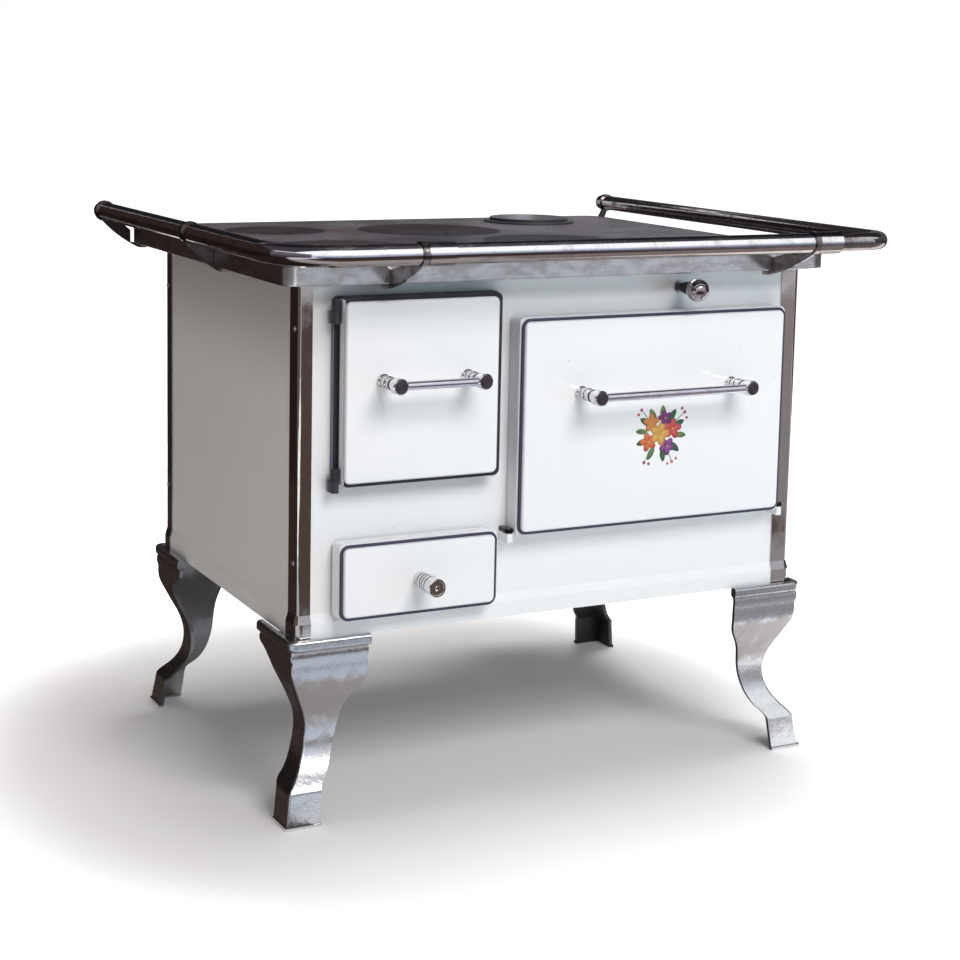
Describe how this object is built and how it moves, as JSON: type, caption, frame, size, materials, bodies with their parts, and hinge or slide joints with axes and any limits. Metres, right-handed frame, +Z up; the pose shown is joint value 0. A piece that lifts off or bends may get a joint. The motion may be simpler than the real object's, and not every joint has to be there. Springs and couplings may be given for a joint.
{
  "type": "wood cookstove",
  "caption": "Enamelled wood cookstove on cabriole legs, with an iron cooking plate, fire door, ash drawer, drop-down oven and a guard rail.",
  "frame": {"origin": "on the floor, at the middle of the stove's bounding box", "axes": "+Z up, -Y towards the front with the doors, +X to the right seen from the front"},
  "size_m": [0.961, 0.833, 0.7995],
  "materials": {
    "enamel": "gloss white enamel",
    "chrome": "polished",
    "band": "satin",
    "plate": "blackened, satin",
    "black_iron": "matt black",
    "black_sheet": "heat-proof black",
    "grey_enamel": "dark grey enamel",
    "leg_casting": "polished casting",
    "brick": "fire clay",
    "zinc": "zinc plated"
  },
  "bodies": {
    "stove": {"leg_front_left": "leg_casting", "leg_front_right": "leg_casting", "leg_rear_left": "leg_casting", "leg_rear_right": "leg_casting", "base_frame": "zinc", "bottom_pan": "zinc", "front_panel": "enamel", "left_panel": "enamel", "right_panel": "enamel", "rear_panel": "enamel", "post_front_left": "chrome", "post_front_right": "chrome", "post_rear_left": "chrome", "post_rear_right": "chrome", "post_screws": "chrome", "top_frame": "band", "top_plate_left": "plate", "top_plate_right": "plate", "fire_door_frame": "black_iron", "oven_hinge_lugs": "enamel", "oven_box": "grey_enamel", "oven_stand": "black_sheet", "fire_bricks": "brick", "fire_grate": "black_iron", "ash_pit_housing": "black_sheet", "smoke_box": "black_sheet", "flue_collar": "plate", "front_rail": "chrome", "left_rail": "chrome", "right_rail": "chrome", "rail_sleeves": "chrome", "bracket_front_left": "chrome", "bracket_front_right": "chrome", "bracket_left_middle": "chrome", "bracket_left_rear": "chrome", "bracket_right_rear": "chrome", "hex_bolts": "zinc", "rail_end_caps": "chrome", "damper_guide": "zinc"},
    "fire_door": {"fire_door_casting": "black_iron", "fire_door_panel": "enamel", "fire_handle_posts": "chrome", "fire_handle_bar": "chrome"},
    "oven_door": {"oven_door_pan": "enamel", "oven_door_panel": "enamel", "oven_door_liner": "grey_enamel", "oven_handle_posts": "chrome", "oven_handle_bar": "chrome"},
    "ash_drawer": {"ash_drawer_box": "zinc", "ash_drawer_front": "enamel", "ash_drawer_knob": "chrome"},
    "damper": {"damper_slide": "zinc", "damper_knob": "chrome"},
    "rack": {"oven_rack": "zinc"},
    "lid_rear_left": {"rear_left_lid": "plate"},
    "ring_front_left": {"front_left_ring": "plate"},
    "lid_front_left": {"front_left_lid": "plate"},
    "ring_rear_middle": {"rear_middle_ring": "plate"},
    "lid_rear_middle": {"rear_middle_lid": "plate"},
    "lid_front_right": {"front_right_lid": "plate"}
  },
  "joints": [
    {"name": "fire_door_hinge", "type": "hinge", "parent": "stove", "child": "fire_door", "pos_m": [-0.354, -0.296, 0.592], "axis": [0, 0, -1], "range_deg": [0, 135]},
    {"name": "oven_door_hinge", "type": "hinge", "parent": "stove", "child": "oven_door", "pos_m": [0.135, -0.296, 0.383], "axis": [1, 0, 0], "range_deg": [0, 90]},
    {"name": "ash_drawer_slide", "type": "slide", "parent": "stove", "child": "ash_drawer", "axis": [0, -1, 0], "range_m": [0, 0.34]},
    {"name": "damper_slide_pull", "type": "slide", "parent": "stove", "child": "damper", "axis": [0, -1, 0], "range_m": [0, 0.1]},
    {"name": "oven_rack_slide", "type": "slide", "parent": "stove", "child": "rack", "axis": [0, -1, 0], "range_m": [0, 0.02]},
    {"name": "rear_left_lid_lift", "type": "slide", "parent": "stove", "child": "lid_rear_left", "axis": [0, 0, 1], "range_m": [0, 0.06]},
    {"name": "front_left_ring_lift", "type": "slide", "parent": "stove", "child": "ring_front_left", "axis": [0, 0, 1], "range_m": [0, 0.06]},
    {"name": "front_left_lid_lift", "type": "slide", "parent": "ring_front_left", "child": "lid_front_left", "axis": [0, 0, 1], "range_m": [0, 0.06]},
    {"name": "rear_middle_ring_lift", "type": "slide", "parent": "stove", "child": "ring_rear_middle", "axis": [0, 0, 1], "range_m": [0, 0.06]},
    {"name": "rear_middle_lid_lift", "type": "slide", "parent": "ring_rear_middle", "child": "lid_rear_middle", "axis": [0, 0, 1], "range_m": [0, 0.06]},
    {"name": "front_right_lid_lift", "type": "slide", "parent": "stove", "child": "lid_front_right", "axis": [0, 0, 1], "range_m": [0, 0.06]}
  ]
}
